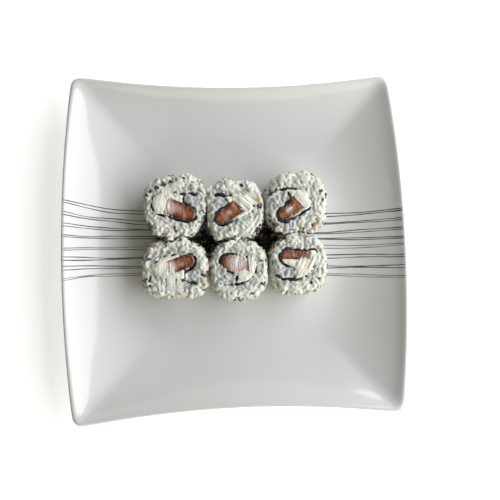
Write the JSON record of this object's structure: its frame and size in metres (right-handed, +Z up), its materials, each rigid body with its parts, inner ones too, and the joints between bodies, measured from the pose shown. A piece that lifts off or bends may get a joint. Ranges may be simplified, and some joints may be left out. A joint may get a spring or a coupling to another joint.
{
  "type": "maki sushi roll plate",
  "caption": "Inside-out maki rolls of rice, nori, salmon and cream cheese, standing in two rows on a square porcelain plate with curved rims and fine drawn lines.",
  "frame": {"origin": "centre of the plate's foot, on the table", "axes": "+Z up, +X to the right and +Y to the back of the plate as it is served, so the two rows of rolls run along X"},
  "size_m": [0.244, 0.2416, 0.0369],
  "materials": {
    "porcelain": "gloss",
    "rice": "satin",
    "nori": "matte",
    "salmon": "gloss",
    "cream_cheese": "satin"
  },
  "bodies": {
    "root": {"plate": "porcelain", "rice_1": "rice", "nori_1": "nori", "salmon_1": "salmon", "cheese_1": "cream_cheese", "rice_2": "rice", "nori_2": "nori", "salmon_2": "salmon", "cheese_2": "cream_cheese", "rice_3": "rice", "nori_3": "nori", "salmon_3": "salmon", "cheese_3": "cream_cheese", "rice_4": "rice", "nori_4": "nori", "salmon_4": "salmon", "cheese_4": "cream_cheese", "rice_5": "rice", "nori_5": "nori", "salmon_5": "salmon", "cheese_5": "cream_cheese", "rice_6": "rice", "nori_6": "nori", "salmon_6": "salmon", "cheese_6": "cream_cheese"}
  },
  "joints": []
}
